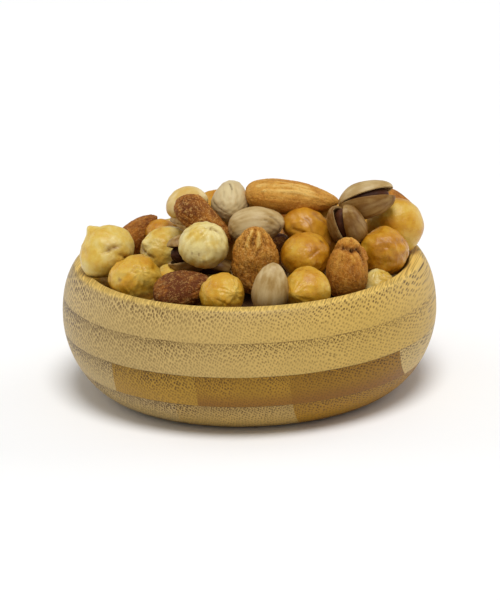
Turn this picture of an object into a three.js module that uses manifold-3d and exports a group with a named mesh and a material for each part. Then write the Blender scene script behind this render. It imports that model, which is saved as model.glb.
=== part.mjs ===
// A round bamboo bowl heaped with mixed nuts: hazelnuts, almonds, pistachios in the shell and
// cashews. Millimetres, +Z up, with the origin on the table under the middle of the bowl's foot,
// and the shown side of the heap facing -Y.
// The bowl is turned from one block of glued bamboo boards, so it is one solid. The loose nuts
// are one solid too: a core that fills the bowl, with every nut that shows fused onto it.

import * as THREE from "three";
import { mergeVertices } from "three/addons/utils/BufferGeometryUtils.js";
import Module from "manifold-3d";

const wasm = await Module();
wasm.setup();

// ---- driving dimensions -------------------------------------------------------------------

const bowl = {
  height: 38.5, // four boards, each a little under 10 mm
  bellyRadius: 55, // the widest place, half of a 110 mm bowl
  bellyHeight: 22.9,
  footRadius: 38.4,
  lowerCurve: 1.83, // powers of the superellipse below and above the belly
  upperCurve: 2.34,
  upperReach: 20.9, // how far up the upper curve would run if the mouth didn't cut it off
  shoulderHeight: 37.2, // where the outside turns over into the lip
  lipFlatOuter: 49.6, // the flat top of the lip ends here
  mouthRadius: 47.2,
  mouthRounding: 0.9,
  innerBelly: 49,
  floorThickness: 8,
  floorRadius: 26,
  segments: 60,
};

// Heights that fall from the axis to the wall are given for both ends.
const heap = {
  clearance: 0.35, // between the nuts and the bowl
  coreClearance: 0.55,
  coreTop: 42,
  coreEdge: 30,
  coreSegments: 36,
  bedTop: 35, // the fillers are dropped on a bed that is lower than the core
  bedEdge: 23,
  domeTop: 59, // no filler rises past this
  domeEdge: 47,
  sightLimit: 57, // nor past the shown nuts, as seen from the front and a little above
  sightLimitLeft: 47, // where the heap is lower
  sightStep: { from: -22, to: -12 }, // the limit rises between these places along X
  sightAngle: THREE.MathUtils.degToRad(17.4),
  swell: 0.5, // flat facets lie inside a round nut, so every nut is bigger by this on each side
};

// ---- helpers ------------------------------------------------------------------------------

// A closed geometry as a manifold-3d solid.
function solidOf(geometry) {
  const bare = new THREE.BufferGeometry().setAttribute("position", geometry.getAttribute("position"));
  if (geometry.index) bare.setIndex(geometry.index);
  const merged = mergeVertices(bare, 1e-3);
  return new wasm.Manifold(
    new wasm.Mesh({
      numProp: 3,
      vertProperties: new Float32Array(merged.attributes.position.array),
      triVerts: new Uint32Array(merged.index.array),
    }),
  );
}

// A manifold-3d solid as a geometry.
function geometryOf(solid) {
  const mesh = solid.getMesh();
  const geometry = new THREE.BufferGeometry();
  geometry.setAttribute("position", new THREE.BufferAttribute(mesh.vertProperties, 3));
  geometry.setIndex(new THREE.BufferAttribute(mesh.triVerts, 1));
  geometry.computeVertexNormals();
  return geometry;
}

// An outline of [radius, height] points, from the bottom of the axis round to its top, turned.
function turned(outline, segments) {
  const points = outline.map(([radius, height]) => new THREE.Vector2(radius, height));
  return new THREE.LatheGeometry(points, segments).rotateX(Math.PI / 2);
}

// Evenly spaced numbers from one value to another, both included.
function steps(from, to, count) {
  return Array.from({ length: count + 1 }, (_, i) => from + ((to - from) * i) / count);
}

// ---- the bowl -----------------------------------------------------------------------------

// The outside, from the edge of the foot to the shoulder, grown outwards by some margin.
function outsideCurve(grow) {
  const { bellyRadius, bellyHeight, footRadius, lowerCurve, upperCurve, upperReach } = bowl;
  const span = bellyRadius - footRadius;
  const lower = steps(0, Math.PI / 2, 6).map((t) => [
    footRadius + grow + span * Math.sin(t) ** (2 / lowerCurve),
    bellyHeight * (1 - Math.cos(t) ** (2 / lowerCurve)),
  ]);
  const heights = steps(bellyHeight, bowl.shoulderHeight, 4).slice(1);
  const upper = heights.map((z) => [
    footRadius + grow + span * (1 - ((z - bellyHeight) / upperReach) ** upperCurve) ** (1 / upperCurve),
    z,
  ]);
  return [...lower, ...upper];
}

// The lip: over from the shoulder to the flat, and round into the mouth.
function lipCurve(grow) {
  const [shoulderRadius] = outsideCurve(0).at(-1);
  const { shoulderHeight, height, lipFlatOuter, mouthRadius, mouthRounding } = bowl;
  const over = steps(0, Math.PI / 2, 3).slice(1).map((t) => [
    lipFlatOuter + (shoulderRadius - lipFlatOuter) * Math.cos(t),
    shoulderHeight + (height - shoulderHeight) * Math.sin(t) + grow,
  ]);
  const into = steps(Math.PI / 2, Math.PI, 2).map((t) => [
    mouthRadius - grow + mouthRounding * (1 + Math.cos(t)),
    height - mouthRounding * (1 - Math.sin(t)) + grow,
  ]);
  return [...over, ...into];
}

// The inside, from below the mouth down to the middle of the floor.
function insideCurve(inset) {
  const { mouthRadius, innerBelly, bellyHeight, floorRadius, floorThickness, height, mouthRounding } = bowl;
  const top = height - mouthRounding;
  const upper = steps(0, 1, 2).slice(1).map((t) => [
    mouthRadius + (innerBelly - mouthRadius) * Math.sin((t * Math.PI) / 2) - inset,
    top + (bellyHeight - top) * t,
  ]);
  const lower = steps(Math.PI / 2, 0, 5).slice(1).map((t) => [
    floorRadius + (innerBelly - floorRadius) * Math.sin(t) - inset,
    floorThickness + inset + (bellyHeight - floorThickness - inset) * (1 - Math.cos(t)),
  ]);
  return [...upper, ...lower];
}

function bowlGeometry(grow = 0) {
  const outline = [
    [0, 0],
    ...outsideCurve(grow),
    ...lipCurve(grow),
    ...insideCurve(grow),
    [0, bowl.floorThickness + grow],
  ];
  return turned(outline, bowl.segments);
}

// ---- the shapes of the nuts ---------------------------------------------------------------

// Each shape gives a point of the skin from the angle off the tip and the angle round the long
// axis. The long axis is X with the tip at +X, the width is Y and the thickness Z.

function hazelnutPoint(tilt, round, [length, width, thick], { tip = 0.07 }) {
  const c = Math.cos(tilt);
  const girth = Math.sin(tilt) * (1 - 0.07 * c);
  const along = (length / 2) * (c > 0 ? c : 0.88 * c) + tip * length * Math.exp(-((tilt / 0.22) ** 2));
  return [along, (width / 2) * girth * Math.cos(round), (thick / 2) * girth * Math.sin(round)];
}

function almondPoint(tilt, round, [length, width, thick], { taper = 0.27 }) {
  const c = Math.cos(tilt);
  const girth = Math.sin(tilt) ** (c < 0 ? 0.84 : 1) * (1 - taper * c) * 0.98; // fuller at the blunt end
  return [(length / 2) * c, (width / 2) * girth * Math.cos(round), (thick / 2) * girth * Math.sin(round)];
}

function pistachioPoint(tilt, round, [length, width, thick]) {
  const c = Math.cos(tilt);
  const girth = Math.sin(tilt) * (1 - 0.16 * c);
  return [(length / 2) * c, (width / 2) * girth * Math.cos(round), (thick / 2) * girth * Math.sin(round)];
}

// A cashew's spine is an arc in the XY plane that bulges towards +Y.
function cashewPoint(tilt, round, [length, width, thick]) {
  const c = Math.cos(tilt);
  const body = Math.sin(tilt) ** 0.75 * (1 - 0.14 * c);
  const bend = (length - width) / 2 / Math.sin(cashewSweep);
  const angle = cashewSweep * 1.25 * c;
  const out = bend + (width / 2) * body * Math.cos(round);
  return [out * Math.sin(angle), out * Math.cos(angle) - 0.72 * bend, (thick / 2) * body * Math.sin(round)];
}
const cashewSweep = THREE.MathUtils.degToRad(58);

// A lump is a sphere whose points are moved to the shape's skin, for the nut that it is part of.
function lump(point, size, { around, along }, nut) {
  const geometry = new THREE.SphereGeometry(1, around, along);
  const position = geometry.getAttribute("position");
  for (let i = 0; i < position.count; i++) {
    const tilt = Math.acos(THREE.MathUtils.clamp(position.getY(i), -1, 1));
    const round = Math.atan2(position.getX(i), position.getZ(i));
    position.setXYZ(i, ...point(tilt, round, size, nut));
  }
  return geometry;
}

// One half of an open pistachio's shell, filled: the lump cut flat on its seam and turned about
// its stem end, at -X.
function halfShell(size, side, facets, nut) {
  const geometry = lump(pistachioPoint, size, facets, nut);
  const gape = THREE.MathUtils.degToRad(nut.gape);
  const position = geometry.getAttribute("position");
  for (let i = 0; i < position.count; i++) {
    position.setZ(i, side * Math.max(0, side * position.getZ(i)));
  }
  const stem = size[0] / 2;
  return geometry.translate(stem, 0, 0).rotateY((-side * gape) / 2).translate(-stem, 0, 0);
}

// The pieces that make up one nut of a kind, before it is turned and placed.
const makers = {
  hazelnut: (size, facets, nut) => [lump(hazelnutPoint, size, facets, nut)],
  almond: (size, facets, nut) => [lump(almondPoint, size, facets, nut)],
  cashew: (size, facets, nut) => [lump(cashewPoint, size, { around: facets.around, along: 8 }, nut)],
  pistachio: (size, facets, nut) => [lump(pistachioPoint, size, facets, nut)],
  openShell: (size, facets, nut) => [
    lump(pistachioPoint, size.map((s) => s * kernelShare), facets, nut),
    halfShell(size, 1, facets, nut),
    halfShell(size, -1, facets, nut),
  ],
};
const kernelShare = 0.86; // an open pistachio's kernel against its shell
const shownFacets = { around: 9, along: 6 }; // fewer on the fillers, further back
const fillerFacets = { around: 7, along: 5 };

// ---- where the nuts lie -------------------------------------------------------------------

// The nuts that show from the front, each placed by hand. at is the middle in mm, turn is yaw,
// pitch and roll in degrees, size is length, width and thickness in mm, and gape is how far a
// split shell stands open, in degrees. tip is how far a hazelnut's point stands out, as a share of
// its length, and taper how much slimmer an almond is towards its tip, where they aren't as usual.
const shownNuts = [
  // along the front lip, from left to right
  { kind: "hazelnut", at: [-40.9, -10.5, 44.2], turn: [165, 57, -66], size: [15.2, 16.8, 15.6], tip: 0.13 },
  { kind: "hazelnut", at: [-32.3, -22, 39.1], turn: [-76, 33, 156], size: [14.8, 15.4, 15.2], tip: 0.02 },
  { kind: "hazelnut", at: [-22.4, -15, 36.9], turn: [0, 0, 0], size: [9.6, 9.6, 9.6] },
  { kind: "almond", at: [-18.8, -33, 39.4], turn: [2, 12, 40], size: [17.2, 12, 9] },
  { kind: "hazelnut", at: [-7.5, -37.8, 39], turn: [-60, 20, 0], size: [13, 12.8, 12.6] },
  { kind: "pistachio", at: [6.2, -38, 40.4], turn: [-11, 80, 98], size: [15.5, 10.4, 9.8] },
  { kind: "hazelnut", at: [16.4, -34.5, 38.4], turn: [-120, 10, 0], size: [13.8, 13.6, 13.4] },
  { kind: "almond", at: [28.3, -25.5, 41.6], turn: [37, 84, 69], size: [18.6, 12.4, 10.6], taper: 0.12 },
  { kind: "hazelnut", at: [37.3, -19.2, 33.8], turn: [-168, 86, -101], size: [11.2, 10.4, 10.2] },
  { kind: "hazelnut", at: [39.4, -13, 43], turn: [-72, 22, -7], size: [14.6, 14.4, 14.4], tip: 0.02 },
  // the second row, further back and higher
  { kind: "hazelnut", at: [-24.3, -2.5, 42.1], turn: [-154, 28, -85], size: [14.2, 14, 13.6] },
  { kind: "openShell", at: [-17.3, -12, 43.9], turn: [-136, 8, 11], size: [15, 9.8, 9.2], gape: 20 },
  { kind: "hazelnut", at: [-12.7, -20.5, 48.6], turn: [-39, 62, 105], size: [14.2, 14.4, 14], tip: 0.02 },
  { kind: "almond", at: [2.1, -22, 44.2], turn: [64, 86, 34], size: [20, 13.6, 9.5], taper: 0.1 },
  { kind: "hazelnut", at: [16.6, -21, 44.4], turn: [-79, 6, -5], size: [14.4, 14.4, 14.2], tip: 0.02 },
  { kind: "cashew", at: [17.4, -9.5, 46.6], turn: [-7, -34, 64], size: [22.4, 12.6, 11] },
  { kind: "openShell", at: [28.8, -12.5, 51.2], turn: [-126, 53, -70], size: [14.8, 10.2, 9.6], gape: 12 },
  { kind: "hazelnut", at: [43.4, 2, 46.3], turn: [70, 2, 44], size: [16.8, 17, 16.8] },
  // the crown of the heap
  { kind: "almond", at: [-33, 10, 43.2], turn: [0, 42, 30], size: [17.6, 10, 9] },
  { kind: "almond", at: [-12.3, -9.5, 52.6], turn: [-14, -38, 24], size: [20.6, 10.2, 8.6] },
  { kind: "cashew", at: [-16.2, 0, 53.2], turn: [6, 20, 66], size: [18.2, 13.4, 11] },
  { kind: "pistachio", at: [-4.7, 1, 55.6], turn: [89, 13, 21], size: [16.5, 10.6, 11] },
  { kind: "pistachio", at: [2.7, -11, 51.3], turn: [-7, 8, 40], size: [16.6, 11.2, 10.6] },
  { kind: "almond", at: [13.4, -2, 56.9], turn: [-2, -7, 0], size: [27.6, 13, 9.8] },
  { kind: "openShell", at: [35, -5, 56.5], turn: [-1, 15, -34], size: [16.6, 10.8, 9.4], gape: 10 },
  { kind: "almond", at: [44.1, 15.5, 48.7], turn: [-28, -19, -18], size: [16, 11, 8] },
  { kind: "hazelnut", at: [36.5, 14.5, 41], turn: [0, 40, 0], size: [13.6, 13.6, 13.4] },
  { kind: "hazelnut", at: [-8.8, 10.5, 50], turn: [40, 50, 0], size: [13, 13, 12.8] },
  { kind: "hazelnut", at: [22.5, 1.5, 47.6], turn: [20, 50, 0], size: [12.6, 12.6, 12.4] },
  { kind: "hazelnut", at: [-25.6, 7, 44.2], turn: [0, 30, 0], size: [10, 9.8, 9.6] },
  { kind: "hazelnut", at: [3.6, 5.8, 50.9], turn: [0, 30, 0], size: [9.4, 9.2, 9] },
];

// The rest of the heap is filled by rule. Shares are of the number of fillers.
const fillers = {
  seed: 34,
  drops: 180,
  tries: 16, // random places looked at for each drop, of which the lowest is taken
  rolls: 60, // small moves downhill from there, each of up to rollStep mm
  rollStep: 3,
  squeeze: 0.8, // how far the balls that stand for two nuts may run into each other
  kinds: [
    { kind: "hazelnut", share: 0.44, size: [14, 13.8, 13.4] },
    { kind: "almond", share: 0.24, size: [20, 11.5, 8.4] },
    { kind: "pistachio", share: 0.12, size: [16, 10.6, 10.2] },
    { kind: "openShell", share: 0.08, size: [16, 10.6, 9.6] },
    { kind: "cashew", share: 0.12, size: [17, 9.4, 9] },
  ],
  gape: 14,
  sizeSpread: 0.07,
  lean: 22, // degrees that a filler may pitch either way
  sunk: 0.5, // how far a ball sinks into the bed, as a share of its radius
  wallGap: 0.3,
  leastShowing: 1.5, // fillers that rise less than this above the core are left out
};

// Balls that stand for a nut when it is dropped on the others: [x, y, z, radius] in its own axes.
function ballsOf(kind, [length, width, thick]) {
  if (kind === "hazelnut") return [[0, 0, 0, (width + thick) / 4]];
  if (kind === "almond") {
    const side = (width - thick) / 2;
    return [
      [-0.27 * length, side * 0.9, 0, thick * 0.47],
      [-0.27 * length, -side * 0.9, 0, thick * 0.47],
      [0, side, 0, thick * 0.5],
      [0, -side, 0, thick * 0.5],
      [0.27 * length, 0, 0, thick * 0.44],
    ];
  }
  if (kind === "cashew") {
    const bend = (length - width) / 2 / Math.sin(cashewSweep);
    return [-1, -0.5, 0, 0.5, 1].map((t) => {
      const angle = cashewSweep * t;
      return [bend * Math.sin(angle), bend * (Math.cos(angle) - 0.72), 0, thick * (0.49 - 0.1 * t * t)];
    });
  }
  return [-0.25, 0, 0.25].map((t) => [t * length, 0, 0, (width + thick) * (0.25 - 0.16 * Math.abs(t))]);
}

// The matrix that turns a nut from its own axes to the bowl's.
function turnMatrix([yaw, pitch, roll]) {
  const rad = THREE.MathUtils.degToRad;
  const turn = new THREE.Euler(rad(roll), rad(-pitch), rad(yaw), "ZYX");
  return new THREE.Matrix4().makeRotationFromEuler(turn);
}

// The balls of a nut, turned and with its middle at the origin.
function turnedBalls(nut) {
  const matrix = turnMatrix(nut.turn);
  return ballsOf(nut.kind, nut.size).map(([x, y, z, r]) => {
    const p = new THREE.Vector3(x, y, z).applyMatrix4(matrix);
    return [p.x, p.y, p.z, r];
  });
}

function moved(balls, [x, y, z]) {
  return balls.map(([bx, by, bz, br]) => [x + bx, y + by, z + bz, br]);
}

// A height that falls from the axis to the wall.
function fall(top, edge, radius) {
  const share = Math.min(1, radius / bowl.mouthRadius);
  return edge + (top - edge) * (1 - share * share);
}

// The lowest height at which a nut at x, y clears the bed and the fillers already down, or null
// where it would cross the wall, a shown nut, the dome or the line of sight.
function restHeight(balls, x, y, placed, shown) {
  let z = -Infinity;
  for (const [bx, by, bz, br] of balls) {
    const radius = Math.hypot(x + bx, y + by);
    if (radius + br > bowl.mouthRadius - fillers.wallGap) return null;
    z = Math.max(z, fall(heap.bedTop, heap.bedEdge, radius) + fillers.sunk * br - bz);
    for (const [cx, cy, cz, cr] of placed) {
      const reach = (br + cr - fillers.squeeze) ** 2 - (x + bx - cx) ** 2 - (y + by - cy) ** 2;
      if (reach > 0) z = Math.max(z, cz + Math.sqrt(reach) - bz);
    }
  }
  const step = THREE.MathUtils.smoothstep(x, heap.sightStep.from, heap.sightStep.to);
  const sight = heap.sightLimitLeft + (heap.sightLimit - heap.sightLimitLeft) * step;
  for (const [px, py, pz, br] of moved(balls, [x, y, z])) {
    if (pz + br > fall(heap.domeTop, heap.domeEdge, Math.hypot(px, py))) return null;
    if ((pz + br) * Math.cos(heap.sightAngle) + py * Math.sin(heap.sightAngle) > sight) return null;
    for (const [cx, cy, cz, cr] of shown) {
      const near = (px - cx) ** 2 + (py - cy) ** 2 + (pz - cz) ** 2;
      if (near < (br + cr - fillers.squeeze) ** 2) return null;
    }
  }
  return z;
}

// A filler of a random kind, size and turn, and a random place for it in the bowl.
function drawFiller(draw) {
  let pick = draw();
  const row = fillers.kinds.find(({ share }) => (pick -= share) < 0) ?? fillers.kinds[0];
  const scale = 1 + fillers.sizeSpread * (2 * draw() - 1);
  const turn = [360 * draw(), fillers.lean * (2 * draw() - 1), 360 * draw()];
  const radius = bowl.mouthRadius * Math.sqrt(draw());
  const angle = 2 * Math.PI * draw();
  const nut = { kind: row.kind, turn, size: row.size.map((s) => s * scale), gape: fillers.gape };
  return { nut, x: radius * Math.cos(angle), y: radius * Math.sin(angle) };
}

// Drops the fillers one by one, lets each roll to a low place, and keeps those that show.
function fillHeap() {
  let state = fillers.seed;
  const draw = () => {
    state = (Math.imul(state, 1664525) + 1013904223) >>> 0;
    return state / 2 ** 32;
  };
  const shown = shownNuts.flatMap((nut) => moved(turnedBalls(nut), nut.at));
  const placed = [];
  const nuts = [];
  for (let drop = 0; drop < fillers.drops; drop++) {
    let best = null;
    for (let k = 0; k < fillers.tries; k++) {
      const { nut, x, y } = drawFiller(draw);
      const balls = turnedBalls(nut);
      const z = restHeight(balls, x, y, placed, shown);
      if (z !== null && (!best || z < best.z)) best = { nut, balls, x, y, z };
    }
    if (!best) continue;
    for (let k = 0; k < fillers.rolls; k++) {
      const x = best.x + fillers.rollStep * (2 * draw() - 1);
      const y = best.y + fillers.rollStep * (2 * draw() - 1);
      const z = restHeight(best.balls, x, y, placed, shown);
      if (z !== null && z < best.z) Object.assign(best, { x, y, z });
    }
    best.nut.at = [best.x, best.y, best.z];
    nuts.push(best.nut);
    placed.push(...moved(best.balls, best.nut.at));
  }
  return nuts.filter(({ at: [x, y, z], ...nut }) => {
    const top = Math.max(...turnedBalls(nut).map(([, , bz, br]) => z + bz + br));
    return top > fall(heap.coreTop, heap.coreEdge, Math.hypot(x, y)) + fillers.leastShowing;
  });
}

// ---- the heap -----------------------------------------------------------------------------

// The core fills the bowl to the wall, and rises in a low dome under the nuts.
function coreGeometry() {
  const wall = insideCurve(heap.coreClearance).filter(([, z]) => z < heap.coreEdge).reverse();
  const edge = bowl.mouthRadius - heap.coreClearance;
  const domeHeight = (t) => fall(heap.coreTop, heap.coreEdge, bowl.mouthRadius * t);
  const dome = steps(1, 0, 6).map((t) => [edge * t, domeHeight(t)]);
  return turned([[0, bowl.floorThickness + heap.coreClearance], ...wall, ...dome], heap.coreSegments);
}

function nutSolids(nut, facets) {
  const size = nut.size.map((s) => s + 2 * heap.swell);
  const matrix = turnMatrix(nut.turn).setPosition(...nut.at);
  const shapes = makers[nut.kind](size, facets, nut);
  return shapes.map((shape) => solidOf(shape).transform(matrix.elements));
}

// The biggest of a solid's bodies, with no loose scraps and no sealed hollows.
function mainBody(solid) {
  const bodies = solid.decompose();
  return bodies.reduce((a, b) => (b.volume() > a.volume() ? b : a));
}

function heapGeometry() {
  const shown = shownNuts.flatMap((nut) => nutSolids(nut, shownFacets));
  const hidden = fillHeap().flatMap((nut) => nutSolids(nut, fillerFacets));
  const fused = [...shown, ...hidden].reduce((sum, solid) => sum.add(solid), solidOf(coreGeometry()));
  return geometryOf(mainBody(fused.subtract(solidOf(bowlGeometry(heap.clearance)))));
}

// ---- the finished group -------------------------------------------------------------------

function piece(name, geometry, color, roughness) {
  const material = new THREE.MeshStandardMaterial({ color, roughness, metalness: 0 });
  const mesh = new THREE.Mesh(geometry, material);
  mesh.name = name;
  return mesh;
}

const bowlOfNuts = new THREE.Group();
bowlOfNuts.add(piece("bamboo_bowl", bowlGeometry(), 0xc9ad74, 0.5));
bowlOfNuts.add(piece("nut_heap", heapGeometry(), 0xb8833a, 0.55));

export default bowlOfNuts;
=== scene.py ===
# A round bamboo bowl heaped with roasted nuts, on a pale table under soft light.
# Sizes are in millimetres until a mesh is made; +Z is up and the shown side faces -Y.
import bpy
import math
import numpy as np
from mathutils import Matrix, Vector


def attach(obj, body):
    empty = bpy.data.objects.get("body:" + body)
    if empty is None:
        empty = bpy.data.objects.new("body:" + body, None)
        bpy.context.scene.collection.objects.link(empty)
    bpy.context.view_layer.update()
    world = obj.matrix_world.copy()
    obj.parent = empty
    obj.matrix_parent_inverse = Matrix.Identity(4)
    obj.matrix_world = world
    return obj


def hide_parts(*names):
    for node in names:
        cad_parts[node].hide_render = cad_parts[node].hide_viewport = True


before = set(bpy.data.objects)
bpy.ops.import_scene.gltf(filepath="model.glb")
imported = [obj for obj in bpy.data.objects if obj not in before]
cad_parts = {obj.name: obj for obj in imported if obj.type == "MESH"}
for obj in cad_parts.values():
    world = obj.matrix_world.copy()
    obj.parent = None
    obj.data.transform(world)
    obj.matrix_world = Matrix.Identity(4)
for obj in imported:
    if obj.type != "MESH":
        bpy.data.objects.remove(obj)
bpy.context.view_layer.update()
mm = 0.001
deg = math.pi / 180


# The camera stands where the photographer's did. focal is in picture heights, clip in metres.
camera = {
    "target": (0.2, 0, 25.4),
    "distance": 1000,
    "elevation": 17.43,
    "roll": 1.71,
    "focal": 5.658,
    "sensor": 36,
    "clip": (0.05, 20),
}


# The camera's directions to the right, up and back, for a raised and slightly rolled view.
def viewAxes(look):
    tilt, roll = look["elevation"] * deg, look["roll"] * deg
    level, rise = Vector((1, 0, 0)), Vector((0, math.sin(tilt), math.cos(tilt)))
    right = math.cos(roll) * level - math.sin(roll) * rise
    up = math.sin(roll) * level + math.cos(roll) * rise
    return right, up, Vector((0, -math.cos(tilt), math.sin(tilt)))


def makeCamera(look):
    right, up, back = viewAxes(look)
    data = bpy.data.cameras.new("camera")
    data.sensor_width = look["sensor"]
    data.lens = look["focal"] * look["sensor"]
    data.clip_start, data.clip_end = look["clip"]
    made = bpy.data.objects.new("camera", data)
    made.matrix_world = Matrix((right, up, back)).transposed().to_4x4()
    made.location = (Vector(look["target"]) + look["distance"] * back) * mm
    bpy.context.scene.collection.objects.link(made)
    bpy.context.scene.camera = made


makeCamera(camera)
sightAxes = [np.array(axis) for axis in viewAxes(camera)]
print("camera placed")


# Meshes from grids of points.

# Faces of a closed grid. Each row runs once round, and the first and last rows are single points.
def closedFaces(rows, columns):
    ring = 1 + np.arange(rows * columns).reshape(rows, columns)
    nextColumn = np.roll(ring, -1, 1)
    quads = np.stack([ring[:-1], ring[1:], nextColumn[1:], nextColumn[:-1]], -1).reshape(-1, 4)
    first = np.stack([np.zeros(columns, int), ring[0], nextColumn[0]], -1)
    last = np.stack([np.full(columns, rows * columns + 1), nextColumn[-1], ring[-1]], -1)
    return quads, np.concatenate([first, last])


# The values of such a grid as one list: the first point, the rings and the last point.
def flat(values):
    middle = values[1:-1].reshape(-1, *values.shape[2:])
    return np.concatenate([values[0, :1], middle, values[-1, :1]])


# Turns the faces outwards: six times the signed volume is the sum of a . (b x c) over triangles.
def facesOut(points, quads, triangles):
    a, b, c, d = (points[quads[:, k]] for k in range(4))
    e, f, g = (points[triangles[:, k]] for k in range(3))
    volume = (a * np.cross(b, c) + a * np.cross(c, d)).sum() + (e * np.cross(f, g)).sum()
    return (quads, triangles) if volume > 0 else (quads[:, ::-1], triangles[:, ::-1])


# Collects grids and turns them into one mesh object, with an attribute for each named value.
class Pile:
    def __init__(self):
        self.points, self.quads, self.triangles, self.values, self.count = [], [], [], {}, 0

    def add(self, grid, place=lambda points: points, **values):
        points = place(flat(grid))
        quads, triangles = facesOut(points, *closedFaces(grid.shape[0] - 2, grid.shape[1]))
        self.points.append(points)
        self.quads.append(quads + self.count)
        self.triangles.append(triangles + self.count)
        self.count += len(points)
        for name, value in values.items():
            self.values.setdefault(name, []).append(flat(value))

    def mesh(self, name, material, rides=True):
        points = np.concatenate(self.points) * mm
        quads, triangles = np.concatenate(self.quads), np.concatenate(self.triangles)
        corners = np.concatenate([quads.ravel(), triangles.ravel()])
        starts = np.concatenate([4 * np.arange(len(quads)), quads.size + 3 * np.arange(len(triangles))])
        data = bpy.data.meshes.new(name)
        data.vertices.add(len(points))
        data.vertices.foreach_set("co", points.astype(np.float32).ravel())
        data.loops.add(len(corners))
        data.loops.foreach_set("vertex_index", corners.astype(np.int32))
        data.polygons.add(len(starts))
        data.polygons.foreach_set("loop_start", starts.astype(np.int32))
        data.update(calc_edges=True)
        data.validate()
        data.shade_smooth()
        for value, parts in self.values.items():
            joined = np.concatenate(parts).astype(np.float32)
            kind, field = ("FLOAT", "value") if joined.ndim == 1 else ("FLOAT_VECTOR", "vector")
            made = data.attributes.new(value, kind, "POINT")
            made.data.foreach_set(field, joined.ravel())
        data.materials.append(material)
        piece = bpy.data.objects.new(name, data)
        bpy.context.scene.collection.objects.link(piece)
        if rides:
            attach(piece, "root")
        print(name, 2 * len(quads) + len(triangles), "triangles")
        return piece


# A smooth random field: a sum of cosines of about one wavelength in random directions, near +-1.
def rolling(points, wave, seed, terms=14, spread=(0.7, 1.4)):
    draw = np.random.default_rng(seed)
    ways = draw.normal(size=(terms, 3))
    ways *= (2 * np.pi / wave * draw.uniform(*spread, terms) / np.linalg.norm(ways, axis=1))[:, None]
    return np.cos(points @ ways.T + draw.uniform(0, 2 * np.pi, terms)).sum(-1) / math.sqrt(terms / 2)


# Such a field times its strength, which is given with its wavelength.
def layer(points, row, seed):
    strength, wave = row
    return strength * rolling(points, wave, seed)


def smoothStep(low, high, value):
    share = np.clip((value - low) / (high - low), 0, 1)
    return share * share * (3 - 2 * share)


def bell(value, width):  # exp(-(value / width)^2)
    return np.exp(-((value / width) ** 2))


# Shader helpers. An input is a socket to link or a plain value.

def paint(red, green, blue):  # a colour as seen on a screen, 0 to 255, by the sRGB curve
    return tuple((((c / 255) + 0.055) / 1.055) ** 2.4 for c in (red, green, blue)) + (1,)


def addNode(tree, kind, inputs=None, **settings):
    made = tree.nodes.new(kind)
    for name, value in settings.items():
        setattr(made, name, value)
    for name, value in (inputs or {}).items():
        if isinstance(value, bpy.types.NodeSocket):
            tree.links.new(value, made.inputs[name])
        else:
            made.inputs[name].default_value = value
    return made


def scaled(tree, vector, by):
    return addNode(tree, "ShaderNodeVectorMath", {0: vector, 1: by}, operation="MULTIPLY").outputs[0]


def calc(tree, operation, *values, clamp=False):
    inputs = dict(enumerate(values))
    return addNode(tree, "ShaderNodeMath", inputs, operation=operation, use_clamp=clamp).outputs[0]


def times(tree, first, *others):
    for other in others:
        first = calc(tree, "MULTIPLY", first, other)
    return first


def plus(tree, first, *others):
    for other in others:
        first = calc(tree, "ADD", first, other)
    return first


def about(tree, value, middle, by):  # (value - middle) * by
    return times(tree, calc(tree, "SUBTRACT", value, middle), by)


def mapRange(tree, value, low, high, toLow=0.0, toHigh=1.0, shape="SMOOTHSTEP"):
    inputs = {"Value": value, "From Min": low, "From Max": high, "To Min": toLow, "To Max": toHigh}
    return addNode(tree, "ShaderNodeMapRange", inputs, interpolation_type=shape).outputs["Result"]


def mixColour(tree, share, first, second, blend="MIX"):
    settings = {"data_type": "RGBA", "blend_type": blend, "clamp_factor": True}
    return addNode(tree, "ShaderNodeMix", {0: share, 6: first, 7: second}, **settings).outputs[2]


def ramp(tree, share, stops, shape="LINEAR"):
    made = addNode(tree, "ShaderNodeValToRGB", {"Fac": share})
    made.color_ramp.interpolation = shape
    elements = made.color_ramp.elements
    while len(elements) < len(stops):
        elements.new(0.5)
    for element, (position, colour) in zip(elements, stops):
        element.position = position
        element.color = colour
    return made.outputs["Color"]


def noise(tree, vector, scale, detail, rough=0.55):
    inputs = {"Vector": vector, "Scale": scale, "Detail": detail, "Roughness": rough}
    return addNode(tree, "ShaderNodeTexNoise", inputs).outputs["Fac"]


def objectPlace(tree):
    return addNode(tree, "ShaderNodeTexCoord").outputs["Object"]


def attribute(tree, name, output="Fac"):
    return addNode(tree, "ShaderNodeAttribute", attribute_name=name).outputs[output]


# A node group that reads a Place and some numbers, given with their defaults, and puts out numbers.
def newGroup(name, numbers, outputs):
    group = bpy.data.node_groups.new(name, "ShaderNodeTree")
    group.interface.new_socket(name="Place", in_out="INPUT", socket_type="NodeSocketVector")
    for socket, value in numbers.items():
        made = group.interface.new_socket(name=socket, in_out="INPUT", socket_type="NodeSocketFloat")
        made.default_value = value
    for socket in outputs:
        group.interface.new_socket(name=socket, in_out="OUTPUT", socket_type="NodeSocketFloat")
    return group, group.nodes.new("NodeGroupInput").outputs, group.nodes.new("NodeGroupOutput").inputs


def useGroup(tree, group, inputs):
    return addNode(tree, "ShaderNodeGroup", inputs, node_tree=group).outputs


def newMaterial(name, specular, roughness=0.5):
    material = bpy.data.materials.new(name)
    material.use_nodes = True
    shader = material.node_tree.nodes["Principled BSDF"]
    shader.inputs["Specular IOR Level"].default_value = specular
    shader.inputs["Roughness"].default_value = roughness
    return material, material.node_tree, shader


# Scales here are shares of the fine noise's. A greater Fleck Share lowers the edge of the flecks.
poreNoise = {"coarseScale": 0.31, "coarseShare": 0.5, "fleckEdge": 0.78, "fleckReach": 0.4, "fleckSoft": 0.07}


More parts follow.
